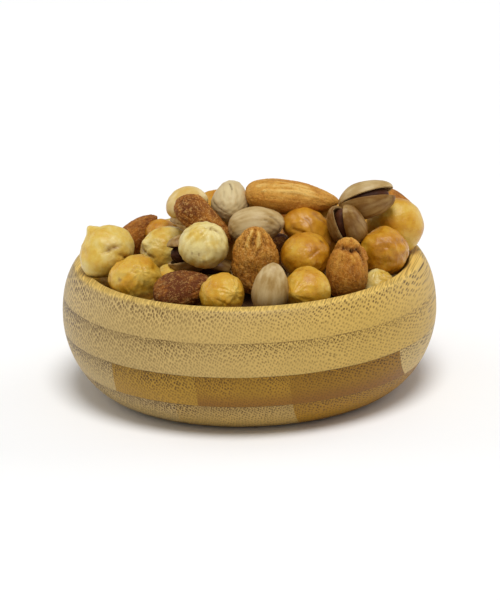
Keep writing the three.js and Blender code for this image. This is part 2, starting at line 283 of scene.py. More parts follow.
# Pores in a skin: fine and coarse noise mixed into one height, and flecks where the fine one peaks.
def makePores():
    group, given, out = newGroup("skinPores", {"Size": 0.5, "Fleck Share": 0.4}, ["Height", "Flecks"])
    p = poreNoise
    scale = calc(group, "DIVIDE", 1.0, given["Size"])
    fine = noise(group, given["Place"], scale, 4, 0.6)
    coarse = noise(group, given["Place"], times(group, scale, p["coarseScale"]), 2, 0.5)
    group.links.new(calc(group, "MULTIPLY_ADD", coarse, p["coarseShare"], fine), out["Height"])
    edge = calc(group, "SUBTRACT", p["fleckEdge"], times(group, given["Fleck Share"], p["fleckReach"]))
    flecks = mapRange(group, fine, edge, plus(group, edge, p["fleckSoft"]))
    group.links.new(flecks, out["Flecks"])
    return group


# Lines that run the length of a nut: noise that is stretched along the nut's own X.
def makeLines():
    group, given, out = newGroup("lengthLines", {"Spacing": 1.0, "Stretch": 0.1}, ["Lines"])
    by = addNode(group, "ShaderNodeCombineXYZ", {"X": given["Stretch"], "Y": 1.0, "Z": 1.0}).outputs[0]
    scale = calc(group, "DIVIDE", 1.0, given["Spacing"])
    group.links.new(noise(group, scaled(group, given["Place"], by), scale, 3, 0.5), out["Lines"])
    return group


poreGroup = makePores()
lineGroup = makeLines()
print("shader groups made")


# The bowl: four boards of glued bamboo, turned.

bowl = {
    "height": 38.5,
    "bellyRadius": 55,
    "bellyHeight": 22.9,
    "footRadius": 38.4,
    "lowerCurve": 1.83,  # powers of the superellipse below and above the belly
    "upperCurve": 2.34,
    "upperReach": 20.9,
    "shoulderHeight": 37.2,
    "lipFlatOuter": 49.6,
    "mouthRadius": 47.2,
    "mouthRounding": 0.9,
    "innerBelly": 49,
    "floorThickness": 8,
    "floorRadius": 26,
    "segments": 288,
    "rows": {"lower": 44, "upper": 26, "shoulder": 12, "mouth": 10, "inner": 14, "floor": 24},
    "boardHeight": 9.8,
    "firstJoint": 10,
}


# The outline from the middle of the foot, out and up over the lip, and down inside to the floor.
# Outside it is two quarter superellipses, over the shoulder a parabola, and inside two quarter ellipses.
def bowlOutline():
    b, rows = bowl, bowl["rows"]
    span = b["bellyRadius"] - b["footRadius"]
    t = np.linspace(0, math.pi / 2, rows["lower"])
    lower = [b["footRadius"] + span * np.sin(t) ** (2 / b["lowerCurve"]),
             b["bellyHeight"] * (1 - np.abs(np.cos(t)) ** (2 / b["lowerCurve"]))]
    z = np.linspace(b["bellyHeight"], b["shoulderHeight"], rows["upper"])[1:]
    rise = ((z - b["bellyHeight"]) / b["upperReach"]) ** b["upperCurve"]
    upper = [b["footRadius"] + span * (1 - rise) ** (1 / b["upperCurve"]), z]
    shoulder = np.array([upper[0][-1], z[-1]])
    slope = (upper[0][-1] - upper[0][-2]) / (z[-1] - z[-2])
    corner = np.array([shoulder[0] + slope * (b["height"] - z[-1]), b["height"]])
    flatStart = np.array([b["lipFlatOuter"], b["height"]])
    u = np.linspace(0, 1, rows["shoulder"])[1:, None]
    over = ((1 - u) ** 2 * shoulder + 2 * u * (1 - u) * corner + u * u * flatStart).T
    t = np.linspace(math.pi / 2, math.pi, rows["mouth"])
    into = [b["mouthRadius"] + b["mouthRounding"] * (1 + np.cos(t)),
            b["height"] - b["mouthRounding"] * (1 - np.sin(t))]
    top = b["height"] - b["mouthRounding"]
    u = np.linspace(0, 1, rows["inner"])[1:]
    inner = [b["mouthRadius"] + (b["innerBelly"] - b["mouthRadius"]) * np.sin(u * math.pi / 2),
             top + (b["bellyHeight"] - top) * u]
    t = np.linspace(math.pi / 2, 0, rows["floor"])[1:]
    floor = [b["floorRadius"] + (b["innerBelly"] - b["floorRadius"]) * np.sin(t),
             b["floorThickness"] + (b["bellyHeight"] - b["floorThickness"]) * (1 - np.cos(t))]
    parts = [lower, upper, over, into, inner, floor, [[0], [b["floorThickness"]]]]
    radius = np.concatenate([[0], *[part[0] for part in parts]])
    height = np.concatenate([[0], *[part[1] for part in parts]])
    return radius, height


# The outline turned about Z: x = r cos(angle), y = r sin(angle).
def turnedGrid(radius, height, segments):
    angle = np.arange(segments) * 2 * math.pi / segments
    x = radius[:, None] * np.cos(angle)
    return np.stack([x, radius[:, None] * np.sin(angle), np.broadcast_to(height[:, None], x.shape)], -1)


# Scales are per mm across, along and up the fibres. A range holds the two ends of what is read and
# then what they become. The board's colours begin at the given mm across the fibres.
bamboo = {
    "fibreTurn": 12,  # degrees from Y towards X
    "fibreScale": (2.2, 0.11, 2.2),
    "patchScale": (0.1, 0.03, 0.1),
    "wanderScale": (0.06, 0.02, 0.06),
    "wanderAcross": 5.0,  # mm
    "wanderUp": 4.0,
    "dotSquash": 0.74,
    "dotSlant": 28,
    "thinner": (-25.0, 25.0, 0.94, 1.3),  # mm across, and how much the dots shrink
    "coarse": {"spacing": 0.72, "edge": (0.25, 0.5), "random": 0.5, "inBoard": (0.2, 0.9, 0.45, 1.0)},
    "fine": {"spacing": 0.504, "edge": (0.26, 0.5), "random": 0.6, "inBoard": (0.66, 0.98, 0.0, 1.0)},
    "dotStrength": (0.0, 1.0, 0.6, 1.0),
    "dotPatches": (0.35, 0.65, 0.7, 1.0),
    "dotsOnGold": (0.0, 1.0, 1.0, 0.6),
    "dotShare": 0.95,
    "dotColour": (64, 34, 2),
    "width": 120,
    "lowest": ((-60, (186, 158, 100)), (-12, (184, 152, 86)), (21.4, (164, 120, 30))),
    "blocks": ((-60, (194, 166, 106)), (-31.2, (180, 138, 46)), (-4.9, (168, 125, 36)),
               (21.4, (154, 111, 26)), (48.3, (204, 174, 108))),
    "upper": ((-60, (196, 169, 113)), (-6, (203, 171, 104)), (42, (203, 167, 86))),
    "darkFrom": ((-31.2, 80), (-4.9, 255)),  # how much each dark block browns, 0 to 255
    "darkTo": 48.3,
    "browning": (0.0, 0.6, 0.75, 0.0),
    "brown": (134, 86, 26),
    "goldRadius": (50.2, 51.8, 1.0, 0.0),
    "goldHeight": (26.0, 30.0),
    "goldShare": 0.85,
    "gold": (234, 197, 106),
    "fibreTone": 0.5,
    "patchTone": 0.3,
    "tone": (0.25, 0.55, 0.82, 1.1),
    "jointEdge": (0.05, 0.2, 1.0, 0.0),  # mm from the joint
    "jointPatches": (0.4, 0.62, 0.1, 0.6),
    "jointHeight": (2.0, 4.0),
    "jointColour": (92, 62, 28),
    "specular": 0.2,
    "roughness": (0.3, 0.7, 0.36, 0.52),
    "bump": 0.08,
    "bumpStrength": 0.6,
    "fibreBump": 0.25,
}


# Bundles of fibres show as dark dots where the wood is cut across, and as streaks on the lip.
def makeBamboo():
    b = bamboo
    material, tree, shader = newMaterial("bamboo", b["specular"])

    def ranged(value, key, shape="SMOOTHSTEP"):
        return mapRange(tree, value, *b[key], shape=shape)

    turned = {"Scale": (1 / mm, 1 / mm, 1 / mm), "Rotation": (0, 0, b["fibreTurn"] * deg)}
    place = addNode(tree, "ShaderNodeMapping", {"Vector": objectPlace(tree), **turned}).outputs[0]
    across, along, height = addNode(tree, "ShaderNodeSeparateXYZ", {0: place}).outputs
    radius = calc(tree, "SQRT", plus(tree, times(tree, across, across), times(tree, along, along)))
    board = calc(tree, "SUBTRACT", height, bowl["firstJoint"] - bowl["boardHeight"])
    board = calc(tree, "DIVIDE", board, bowl["boardHeight"])
    heightInBoard = calc(tree, "FRACT", board)
    patches = noise(tree, scaled(tree, place, b["patchScale"]), 1.0, 2)
    fibres = noise(tree, scaled(tree, place, b["fibreScale"]), 1.0, 4, 0.6)
    golden = times(tree, ranged(radius, "goldRadius"), ranged(height, "goldHeight"))

    # the fibres wander a little on their way
    wander = {"Vector": scaled(tree, place, b["wanderScale"]), "Scale": 1.0, "Detail": 2.0}
    wander = addNode(tree, "ShaderNodeTexNoise", wander).outputs["Color"]
    wanderAcross, wanderUp, _ = addNode(tree, "ShaderNodeSeparateColor", {0: wander}).outputs
    bundleX = calc(tree, "MULTIPLY_ADD", wanderAcross, b["wanderAcross"], across)
    bundleY = times(tree, calc(tree, "MULTIPLY_ADD", wanderUp, b["wanderUp"], height), b["dotSquash"])
    section = addNode(tree, "ShaderNodeCombineXYZ", {"X": bundleX, "Y": bundleY}).outputs[0]
    slanted = {"Vector": section, "Rotation": (0, 0, b["dotSlant"] * deg)}
    section = addNode(tree, "ShaderNodeMapping", slanted).outputs[0]
    thinner = ranged(across, "thinner")

    # dark where the distance to the middle of a bundle is small; the bundles are thinner on the right
    def dots(row):
        inputs = {"Vector": section, "Scale": 1 / row["spacing"], "Randomness": row["random"]}
        cells = addNode(tree, "ShaderNodeTexVoronoi", inputs, voronoi_dimensions="2D").outputs
        mask = mapRange(tree, times(tree, cells["Distance"], thinner), *row["edge"], 1.0, 0.0)
        strength = addNode(tree, "ShaderNodeSeparateColor", {0: cells["Color"]}).outputs[0]
        strength = ranged(strength, "dotStrength", "LINEAR")
        return times(tree, mask, strength, mapRange(tree, heightInBoard, *row["inBoard"]))

    pores = calc(tree, "MAXIMUM", dots(b["coarse"]), dots(b["fine"]))
    pores = times(tree, pores, ranged(patches, "dotPatches"), ranged(golden, "dotsOnGold"))

    # boards and blocks: the lowest board, the one with the dark blocks, and the two above
    share = calc(tree, "MULTIPLY_ADD", across, 1 / b["width"], 0.5)
    white, black = (1, 1, 1, 1), (0, 0, 0, 1)

    def shareAt(x):
        return x / b["width"] + 0.5

    def shades(key, shape="CONSTANT"):
        return ramp(tree, share, [(shareAt(x), paint(*shade)) for x, shade in b[key]], shape)

    level = times(tree, board, 1 / 4)
    isBlock = ramp(tree, level, [(0, black), (1 / 4, white), (2 / 4, black)], "CONSTANT")
    isUpper = ramp(tree, level, [(0, black), (2 / 4, white)], "CONSTANT")
    # the dark blocks turn brown towards their lower edge
    dark = [(shareAt(x), paint(grey, grey, grey)) for x, grey in b["darkFrom"]]
    isDark = ramp(tree, share, [(0, black), *dark, (shareAt(b["darkTo"]), black)], "CONSTANT")
    lowEdge = times(tree, ranged(heightInBoard, "browning"), isDark)
    colour = mixColour(tree, isUpper, shades("lowest"), shades("upper", "LINEAR"))
    colour = mixColour(tree, isBlock, colour, mixColour(tree, lowEdge, shades("blocks"), paint(*b["brown"])))
    # round the mouth the wood is golden
    colour = mixColour(tree, times(tree, golden, b["goldShare"]), colour, paint(*b["gold"]))

    # slow changes of tone, and fine fibres
    tone = plus(tree, times(tree, fibres, b["fibreTone"]), times(tree, patches, b["patchTone"]))
    tone = ranged(tone, "tone", "LINEAR")
    grey = addNode(tree, "ShaderNodeCombineColor", {0: tone, 1: tone, 2: tone}).outputs[0]
    colour = mixColour(tree, 1.0, colour, grey, "MULTIPLY")
    colour = mixColour(tree, times(tree, pores, b["dotShare"]), colour, paint(*b["dotColour"]))
    # the thin dark line where two boards meet
    toJoint = times(tree, calc(tree, "PINGPONG", board, 0.5), bowl["boardHeight"])
    line = times(tree, ranged(toJoint, "jointEdge"), ranged(patches, "jointPatches"))
    line = times(tree, line, ranged(height, "jointHeight"))
    colour = mixColour(tree, line, colour, paint(*b["jointColour"]))
    tree.links.new(colour, shader.inputs["Base Color"])
    tree.links.new(ranged(fibres, "roughness", "LINEAR"), shader.inputs["Roughness"])
    dip = calc(tree, "SUBTRACT", times(tree, fibres, b["fibreBump"]), pores)
    bump = {"Height": dip, "Distance": b["bump"] * mm, "Strength": b["bumpStrength"]}
    tree.links.new(addNode(tree, "ShaderNodeBump", bump).outputs[0], shader.inputs["Normal"])
    return material


def makeBowl():
    pile = Pile()
    pile.add(turnedGrid(*bowlOutline(), bowl["segments"]))
    piece = pile.mesh("bambooBowl", makeBamboo())
    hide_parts("bamboo_bowl")


makeBowl()
print("bowl made")


# Where the nuts lie.

# at is the middle, turn is yaw, pitch and roll in degrees, size is length, width and thickness.
# roast goes from 0, pale, to 1, dark, and rough is how deep the relief is. Each mark runs between two
# points of the skin, given in mm right of and above the nut's middle as seen from the camera, and
# then come its depth, width and stain, a darkening that is partly real stain and partly painted shade
# in grooves and on shaded sides. tip and taper take the place of the kind's own, crease and
# folds scale its relief, furrows is a count, gape is how far a split shell stands open, in degrees,
# and the other half's roast can be given apart, set darker as painted shade where that half faces
# down.
def laid(kind, at, turn, size, roast, rough, **own):
    return {"kind": kind, "at": at, "turn": turn, "size": size, "roast": roast, "rough": rough, **own}


shownNuts = [
    # along the front lip, from left to right
    laid("hazelnut", (-40.9, -10.5, 44.2), (165, 57, -66), (15.2, 16.8, 15.6), 0.24, 1,
         tip=0.13, crease=0.2, marks=(
        (-0.8, 0.1, 0.9, 0.8, 0.4, 0.5, 0.5), (0.9, 0.8, 2.6, 1.7, 0.55, 0.55, 0.8),
        (2.6, 1.7, 4.6, 2.1, 0.4, 0.5, 0.6), (4.4, -0.6, 6.2, -1.5, 0.45, 0.5, 0.8),
        (6.2, -1.5, 8.2, -1.8, 0.4, 0.5, 0.6), (2.6, -1.6, 3.9, -2.6, -0.25, 0.6, 0),
        (0.5, 2.4, 2.6, 2.5, 0, 0.9, 0.5), (1.6, 1.4, 5, 0.6, 0, 1.8, 0.35),
        (2, -5, 5.4, -4, 0, 2.2, 0.45))),
    laid("hazelnut", (-32.3, -22, 39.1), (-76, 33, 156), (14.8, 15.4, 15.2), 0.43, 1.3,
         tip=0.02, crease=0.4, marks=(
        (-4.9, 0.4, -4.5, 0.1, 0.3, 0.55, 1.6), (0.2, 2.2, 0.6, 2.4, 0.4, 0.4, 0.4),
        (-0.9, 2.6, 0.3, 3.7, 0.3, 0.4, 0.3), (0.3, 3.7, 2.2, 3.1, 0.3, 0.4, 0.3),
        (2.2, 3.1, 2.4, 1.2, 0.3, 0.4, 0.3), (-3.6, -1.3, -2.4, -3.4, -0.3, 0.5, 0))),
    laid("hazelnut", (-22.4, -15, 36.9), (0, 0, 0), (9.6, 9.6, 9.6), 0.35, 1),
    laid("almond", (-18.8, -33, 39.4), (2, 12, 40), (17.2, 12, 9), 1, 0.75),
    laid("hazelnut", (-7.5, -37.8, 39), (-60, 20, 0), (13, 12.8, 12.6), 0.45, 1),
    laid("pistachio", (6.2, -38, 40.4), (-11, 80, 98), (15.5, 10.4, 9.8), 0.45, 1),
    laid("hazelnut", (16.4, -34.5, 38.4), (-120, 10, 0), (13.8, 13.6, 13.4), 0.5, 0.8),
    laid("almond", (28.3, -25.5, 41.6), (37, 84, 69), (18.6, 12.4, 10.6), 0.5, 0.7, taper=0.12, marks=(
        # the first five marks are the fold under the cap: its depth is real, and its strong dark stain is
        # painted shade under the overhanging cap
        (-4.2, 6.2, -1.6, 6.4, 0.5, 0.5, 0.9), (-1.6, 6.4, 1.2, 5.6, 0.8, 0.55, 1.5),
        (1.2, 5.6, 3.2, 6.2, 0.8, 0.55, 1.4), (3.2, 6.2, 4.2, 5, 0.7, 0.5, 1.3),
        (4.2, 5, 5.2, 2.4, 0.7, 0.5, 1.3), (-2, 8, 2.4, 7.6, -0.7, 1.1, -0.5),
        (5, 6, 5.8, 3.8, -0.7, 0.8, -0.3), (-1.6, 4.2, 1.8, 3.8, -0.4, 1.2, -0.5))),
    laid("hazelnut", (37.3, -19.2, 33.8), (-168, 86, -101), (11.2, 10.4, 10.2), 0.22, 0.8, tip=0.03),
    laid("hazelnut", (39.4, -13, 43), (-72, 22, -7), (14.6, 14.4, 14.4), 0.71, 1.6,
         tip=0.02, crease=0, folds=0, marks=(
        (5.6, 3.2, 6.4, 1.2, 0.35, 0.4, 0.5), (6.6, -0.4, 6.8, -2.6, 0.3, 0.4, 0.4),
        # the last mark is painted shade: a broad dark stain over the nut's lower side
        (-2, -2.6, 3, -3.2, 0, 2.6, 0.7))),
    # the second row, further back and higher
    laid("hazelnut", (-24.3, -2.5, 42.1), (-154, 28, -85), (14.2, 14, 13.6), 0.26, 1.3,
         crease=0.3, folds=0, marks=(
        (-4.4, -1.6, -3.2, -2.2, 0.4, 0.5, 1), (-6.4, 0.4, -5.4, -0.8, 0.3, 0.5, 0.5))),
    laid("openPistachio", (-17.3, -12, 43.9), (-136, 8, 11), (15, 9.8, 9.2), 0.6, 1, gape=20),
    laid("hazelnut", (-12.7, -20.5, 48.6), (-39, 62, 105), (14.2, 14.4, 14), 0.04, 0.9,
         tip=0.02, crease=0.2, furrows=7, marks=(
        (0.6, 5.4, 2.4, 4.9, 0.45, 0.45, 0.5), (2.4, 4.9, 4.2, 4.4, 0.5, 0.5, 0.6),
        (4.2, 4.4, 5.4, 3.2, 0.4, 0.45, 0.5), (3.2, 5.9, 4.9, 5, -0.35, 0.7, 0),
        (-1.2, -2.9, -1.1, -2.8, 0.15, 0.3, 1.2), (-3.3, -2.4, -3.2, -2.3, 0.15, 0.3, 1),
        (-0.6, 4.2, -0.4, 3.2, 0.2, 0.4, 0.5), (0.3, -4.6, 0.4, -4.5, 0.1, 0.3, 0.8),
        (5, -0.5, 4.6, -4, 0, 1.8, 0.2))),
    laid("almond", (2.1, -22, 44.2), (64, 86, 34), (20, 13.6, 9.5), 0.46, 1.2, taper=0.1, marks=(
        (-3.8, 4, -2, 7.8, 0.6, 0.42, 1), (-1.2, 3.9, 0, 8.2, 0.6, 0.42, 1),
        (3.1, 4.4, 1.5, 8, 0.5, 0.42, 0.9), (-5.5, 3, -4.8, 5.2, 0.4, 0.4, 0.8),
        (-2.6, 4.4, -1, 8, -0.3, 0.5, -1.6), (0.9, 4.6, 0.8, 7.6, -0.3, 0.6, -1.6),
        (0.4, 1, 1.6, 3.6, 0.35, 0.4, 0.7))),
    laid("hazelnut", (16.6, -21, 44.4), (-79, 6, -5), (14.4, 14.4, 14.2), 0.68, 0.9,
         tip=0.02, crease=0.1, folds=0.3, marks=(
        (4.3, 4.5, 4.7, 4.3, 0.3, 0.45, 2), (0.9, -0.2, 2.6, 1.1, 0.35, 0.4, 0.4),
        (2.6, 1.1, 4.4, 2.5, 0.3, 0.4, 0.4))),
    laid("cashew", (17.4, -9.5, 46.6), (-7, -34, 64), (22.4, 12.6, 11), 0.74, 1.2, marks=(
        (-4.6, 2.6, -1.2, 1.4, 0.4, 0.5, 0.6), (-1.2, 1.4, 2, -0.8, 0.4, 0.5, 0.6),
        (-5.4, 4.2, -2, 4.9, -0.3, 0.7, 0))),
    laid("openPistachio", (28.8, -12.5, 51.2), (-126, 53, -70), (14.8, 10.2, 9.6), 0.92, 0.9,
         gape=12, otherRoast=0.9),
    laid("hazelnut", (43.4, 2, 46.3), (70, 2, 44), (16.8, 17, 16.8), 0.48, 0.6, crease=0, folds=0),
    # the crown of the heap
    laid("almond", (-33, 10, 43.2), (0, 42, 30), (17.6, 10, 9), 0.76, 0.6),
    laid("almond", (-12.3, -9.5, 52.6), (-14, -38, 24), (20.6, 10.2, 8.6), 0.78, 1.1),
    laid("cashew", (-16.2, 0, 53.2), (6, 20, 66), (18.2, 13.4, 11), 0.22, 0.5),
    laid("pistachio", (-4.7, 1, 55.6), (89, 13, 21), (16.5, 10.6, 11), 0.12, 1.3, marks=(
        (-0.2, 5, 0.5, 3.2, 0.3, 0.22, 1.6), (0.5, 3.2, 0.3, 1.6, 0.15, 0.2, 0.6),
        (-1.6, 2.4, -1.9, -1.6, 0.12, 0.25, 0.5), (1.6, 3, 2.1, -1, 0.12, 0.25, 0.5))),
    laid("pistachio", (2.7, -11, 51.3), (-7, 8, 40), (16.6, 11.2, 10.6), 0.42, 1, marks=(
        (4.4, 2.6, 7.4, -0.8, 0.2, 0.3, 0.9), (2.6, 1.6, 7.2, -1.4, 0.15, 0.28, 0.8),
        (3.4, -0.6, 6.6, -2.2, 0.15, 0.28, 0.8), (6.2, -3, 7.4, -1.2, 0.3, 0.4, 1),
        (5.4, -2.8, 7.4, -2.2, 0, 1.3, 0.5))),
    laid("almond", (13.4, -2, 56.9), (-2, -7, 0), (27.6, 13, 9.8), 0.33, 0.45, marks=(
        (-8.4, 3, -1, 3.2, -0.4, 0.55, -1.3), (-1, 3.2, 6.6, 1.4, -0.4, 0.55, -1.3),
        (-7.2, 1.6, 1.4, 1.4, -0.4, 0.5, -1.2), (1.4, 1.4, 8.4, 0, -0.35, 0.5, -1.2),
        (-4, 4.2, 5, 2.9, -0.35, 0.45, -1.4), (-8.6, 2.3, 0, 2.3, 0.2, 0.3, 0.5),
        (-7.6, 0.8, 3, 0.6, 0.2, 0.35, 0.5), (-3, 3.7, 4.6, 2.4, 0.15, 0.3, 0.4))),
    laid("openPistachio", (35, -5, 56.5), (-1, 15, -34), (16.6, 10.8, 9.4), 0.54, 0.7,
         # its other half is set darker as painted shade, where it faces down
         gape=10, otherRoast=0.92),
    laid("almond", (44.1, 15.5, 48.7), (-28, -19, -18), (16, 11, 8), 0.6, 0.5),
    laid("hazelnut", (36.5, 14.5, 41), (0, 40, 0), (13.6, 13.6, 13.4), 0.45, 1),
    laid("hazelnut", (-8.8, 10.5, 50), (40, 50, 0), (13, 13, 12.8), 0.64, 1),
    laid("hazelnut", (22.5, 1.5, 47.6), (20, 50, 0), (12.6, 12.6, 12.4), 0.62, 1),
    laid("hazelnut", (-25.6, 7, 44.2), (0, 30, 0), (10, 9.8, 9.6), 0.66, 0.6),
    laid("hazelnut", (3.6, 5.8, 50.9), (0, 30, 0), (9.4, 9.2, 9), 0.9, 0.8),
]

# The bed under the fillers and the dome over them fall from the axis to the wall. No filler rises
# over the sight limit, a height as seen at the camera's angle, which is lower left of the step.
heap = {
    "bedTop": 35,
    "bedEdge": 23,
    "domeTop": 59,
    "domeEdge": 47,
    "sightLimit": 57,
    "sightLimitLeft": 47,
    "sightStep": (-22, -12),  # x where the limit rises
    "sightAngle": 17.4,
}

# The rest of the heap is filled by rule.
fillers = {
    "seed": 34,
    "drops": 180,
    "tries": 16,  # random places looked at for each drop, of which the lowest is taken
    "rolls": 60,
    "rollStep": 3,
    "squeeze": 0.8,
    "kinds": (
        ("hazelnut", 0.44, (14, 13.8, 13.4)),
        ("almond", 0.24, (20, 11.5, 8.4)),
        ("pistachio", 0.12, (16, 10.6, 10.2)),
        ("openPistachio", 0.08, (16, 10.6, 9.6)),
        ("cashew", 0.12, (17, 9.4, 9)),
    ),
    "gape": 14,
    "sizeSpread": 0.07,
    "lean": 22,  # degrees that a filler may pitch
    "sunk": 0.5,
    "wallGap": 0.3,
    # the fillers' roast range sits darker than most shown nuts': painted shade for nuts deep in the heap
    "roast": (0.45, 0.9),
    "almondRoast": 0.1,
    "rough": (0.7, 1.3),
    "generator": (1664525, 1013904223, 2 ** 32),
}

# A cashew is bent along an arc: half its angle, and how far its middle lies from the nut's, as a
# share of the arc's radius.
cashewSweep, cashewMiddle = 58 * deg, 0.72

# Balls in an almond: shares of its length, of half its width less its thickness, and of its thickness.
almondBalls = ((-0.27, 0.9, 0.47), (-0.27, -0.9, 0.47), (0, 1, 0.5), (0, -1, 0.5), (0.27, 0, 0.44))
# Balls along a cashew and a pistachio: where they lie, the middle one's size and how the others shrink.
cashewBalls = {"at": (-1, -0.5, 0, 0.5, 1), "size": 0.49, "less": 0.1}
pistachioBalls = {"at": (-0.25, 0, 0.25), "size": 0.25, "less": 0.16}


# Balls that stand for a nut when it is dropped on the others: x, y, z and radius in its own axes.
def ballsOf(nut):
    length, width, thick = nut["size"]
    if nut["kind"] == "hazelnut":
        return np.array([[0, 0, 0, (width + thick) / 4]])
    if nut["kind"] == "almond":
        side = (width - thick) / 2
        return np.array([[x * length, y * side, 0, size * thick] for x, y, size in almondBalls])
    if nut["kind"] == "cashew":
        bend = (length - width) / 2 / math.sin(cashewSweep)
        t = np.array(cashewBalls["at"])
        x, y = bend * np.sin(cashewSweep * t), bend * (np.cos(cashewSweep * t) - cashewMiddle)
        return np.stack([x, y, 0 * t, thick * (cashewBalls["size"] - cashewBalls["less"] * t * t)], -1)
    t = np.array(pistachioBalls["at"])
    girth = pistachioBalls["size"] - pistachioBalls["less"] * np.abs(t)
    return np.stack([t * length, 0 * t, 0 * t, (width + thick) * girth], -1)


# Roll about X, then pitch about -Y, then yaw about Z.
def turnMatrix(turn):
    yaw, pitch, roll = (angle * deg for angle in turn)
    c, s = math.cos, math.sin
    aboutZ = np.array([[c(yaw), -s(yaw), 0], [s(yaw), c(yaw), 0], [0, 0, 1]])
    aboutY = np.array([[c(pitch), 0, -s(pitch)], [0, 1, 0], [s(pitch), 0, c(pitch)]])
    aboutX = np.array([[1, 0, 0], [0, c(roll), -s(roll)], [0, s(roll), c(roll)]])
    return aboutZ @ aboutY @ aboutX


def turnedBalls(nut):
    balls = ballsOf(nut)
    return np.concatenate([balls[:, :3] @ turnMatrix(nut["turn"]).T, balls[:, 3:]], 1)


def fall(top, edge, radius):
    return edge + (top - edge) * (1 - np.minimum(1, radius / bowl["mouthRadius"]) ** 2)


# The lowest height at which a nut at x, y clears the bed and the fillers already down, or None
# where it would cross the wall, a shown nut, the dome or the line of sight.
def restHeight(balls, x, y, placed, shown):
    px, py, size = balls[:, 0] + x, balls[:, 1] + y, balls[:, 3]
    radius = np.hypot(px, py)
    if (radius + size > bowl["mouthRadius"] - fillers["wallGap"]).any():
        return None
    z = (fall(heap["bedTop"], heap["bedEdge"], radius) + fillers["sunk"] * size - balls[:, 2]).max()
    if len(placed):
        apart = (px[:, None] - placed[:, 0]) ** 2 + (py[:, None] - placed[:, 1]) ** 2
        reach = (size[:, None] + placed[:, 3] - fillers["squeeze"]) ** 2 - apart
        over = placed[:, 2] + np.sqrt(np.maximum(reach, 0)) - balls[:, 2][:, None]
        z = max(z, np.where(reach > 0, over, -np.inf).max())
    pz = z + balls[:, 2]
    if (pz + size > fall(heap["domeTop"], heap["domeEdge"], radius)).any():
        return None
    angle = heap["sightAngle"] * deg
    left, step = heap["sightLimitLeft"], smoothStep(*heap["sightStep"], x)
    sight = left + (heap["sightLimit"] - left) * step
    if ((pz + size) * math.cos(angle) + py * math.sin(angle) > sight).any():
        return None
    near = sum((p[:, None] - shown[:, k]) ** 2 for k, p in enumerate((px, py, pz)))
    return None if (near < (size[:, None] + shown[:, 3] - fillers["squeeze"]) ** 2).any() else z


# Drops the fillers one by one and lets each roll to a low place. draw is a plain linear generator.
def fillHeap():
    state = fillers["seed"]
    factor, added, limit = fillers["generator"]

    def draw():
        nonlocal state
        state = (state * factor + added) % limit
        return state / limit

    def drawFiller():
        pick = draw()
        for kind, share, size in fillers["kinds"]:
            pick -= share
            if pick < 0:
                break
        else:
            kind, _, size = fillers["kinds"][0]
        scale = 1 + fillers["sizeSpread"] * (2 * draw() - 1)
        turn = (360 * draw(), fillers["lean"] * (2 * draw() - 1), 360 * draw())
        radius = bowl["mouthRadius"] * math.sqrt(draw())
        angle = 2 * math.pi * draw()
        nut = {"kind": kind, "turn": turn, "size": tuple(s * scale for s in size), "gape": fillers["gape"]}
        return nut, radius * math.cos(angle), radius * math.sin(angle)

    shown = np.concatenate([turnedBalls(nut) + (*nut["at"], 0) for nut in shownNuts])
    placed = np.zeros((0, 4))
    nuts = []
    for _ in range(fillers["drops"]):
        best = None
        for _ in range(fillers["tries"]):
            nut, x, y = drawFiller()
            balls = turnedBalls(nut)
            z = restHeight(balls, x, y, placed, shown)
            if z is not None and (best is None or z < best[4]):
                best = [nut, balls, x, y, z]
        if best is None:
            continue
        nut, balls, x, y, z = best
        for _ in range(fillers["rolls"]):
            nextX = x + fillers["rollStep"] * (2 * draw() - 1)
            nextY = y + fillers["rollStep"] * (2 * draw() - 1)
            nextZ = restHeight(balls, nextX, nextY, placed, shown)
            if nextZ is not None and nextZ < z:
                x, y, z = nextX, nextY, nextZ
        nut["at"] = (x, y, z)
        nuts.append(nut)
        placed = np.concatenate([placed, balls + (x, y, z, 0)])
    look = np.random.default_rng(fillers["seed"])
    for nut in nuts:
        nut["roast"] = look.uniform(*fillers["roast"]) + (nut["kind"] == "almond") * fillers["almondRoast"]
        nut["rough"] = look.uniform(*fillers["rough"])
        nut["behind"] = True
    return nuts


# The shapes of the nuts.

# Each shape gives points of the skin from the angle off the tip and the angle round the long axis,
# which is X with the tip at +X, the width along Y and the thickness along Z. taper narrows the tip.
hazelnutForm = {"taper": 0.07, "bluntEnd": 0.88, "tip": 0.07, "tipWidth": 0.22}
almondForm = {"taper": 0.27, "bluntPower": 0.84, "girth": 0.98}
pistachioForm = {"taper": 0.16}
cashewForm = {"taper": 0.14, "endPower": 0.75, "sweep": 1.25}


# x = length / 2 * along, and y and z the same way from the girth's cosine and sine.
def skinPoints(along, girth, around, size):
    x, y, z = (side / 2 for side in size)
    return np.stack([x * along, y * girth * np.cos(around), z * girth * np.sin(around)], -1)


def hazelnutShape(tilt, around, size, nut):
    form, c = hazelnutForm, np.cos(tilt)
    tip = 2 * nut.get("tip", form["tip"]) * bell(tilt, form["tipWidth"])
    along = np.where(c > 0, c, form["bluntEnd"] * c) + tip
    return skinPoints(along, np.sin(tilt) * (1 - form["taper"] * c), around, size)


def almondShape(tilt, around, size, nut):  # fuller at the blunt end
    form, c = almondForm, np.cos(tilt)
    girth = form["girth"] * np.abs(np.sin(tilt)) ** np.where(c < 0, form["bluntPower"], 1)
    return skinPoints(c, girth * (1 - nut.get("taper", form["taper"]) * c), around, size)


def pistachioShape(tilt, around, size, nut):
    c = np.cos(tilt)
    return skinPoints(c, np.sin(tilt) * (1 - pistachioForm["taper"] * c), around, size)


# A cashew's spine is an arc in the XY plane that bulges towards +Y.
def cashewShape(tilt, around, size, nut):
    form, c = cashewForm, np.cos(tilt)
    body = np.abs(np.sin(tilt)) ** form["endPower"] * (1 - form["taper"] * c)
    bend = (size[0] - size[1]) / 2 / math.sin(cashewSweep)
    angle = cashewSweep * form["sweep"] * c
    out = bend + size[1] / 2 * body * np.cos(around)
    x, y = out * np.sin(angle), out * np.cos(angle) - cashewMiddle * bend
    return np.stack([x, y, size[2] / 2 * body * np.sin(around)], -1)


